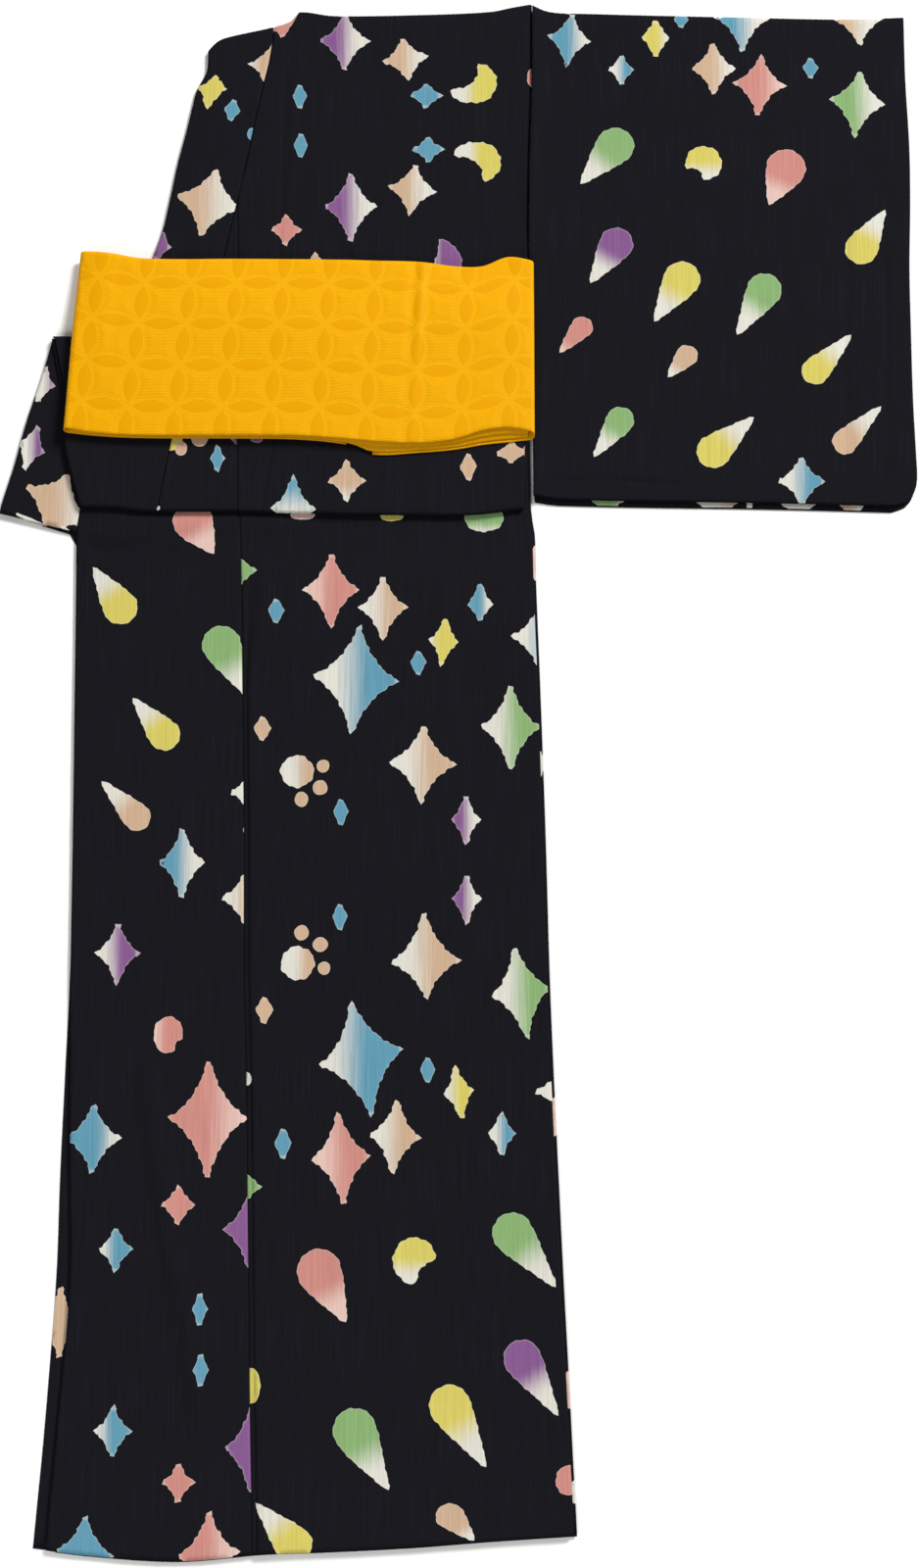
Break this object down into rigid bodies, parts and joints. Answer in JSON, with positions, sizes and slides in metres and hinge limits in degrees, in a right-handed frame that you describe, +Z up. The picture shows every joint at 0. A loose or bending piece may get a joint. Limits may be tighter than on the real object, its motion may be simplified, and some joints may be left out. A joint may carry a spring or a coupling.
{
  "type": "folded yukata with its half-width obi",
  "caption": "Women's cotton yukata folded in half and laid flat, its waist tucked in a Z and its folded obi laid across it.",
  "frame": {"origin": "middle of the footprint, on the surface that the folded garment lies on", "axes": "+Z up from the surface, +Y from hem to neck, +X from the front edge to the sleeve"},
  "size_m": [0.8138, 1.371, 0.0197],
  "materials": {
    "navy_cotton": "dyed slub cotton, matt",
    "obi_weave": "figured weave with a soft sheen"
  },
  "bodies": {
    "root": {"hidden_layers": "navy_cotton", "left_front": "navy_cotton", "left_overlap": "navy_cotton", "left_collar": "navy_cotton", "left_sleeve": "navy_cotton", "right_sleeve": "navy_cotton", "obi_outer_turn": "obi_weave", "obi_inner_turns": "obi_weave"}
  },
  "joints": []
}
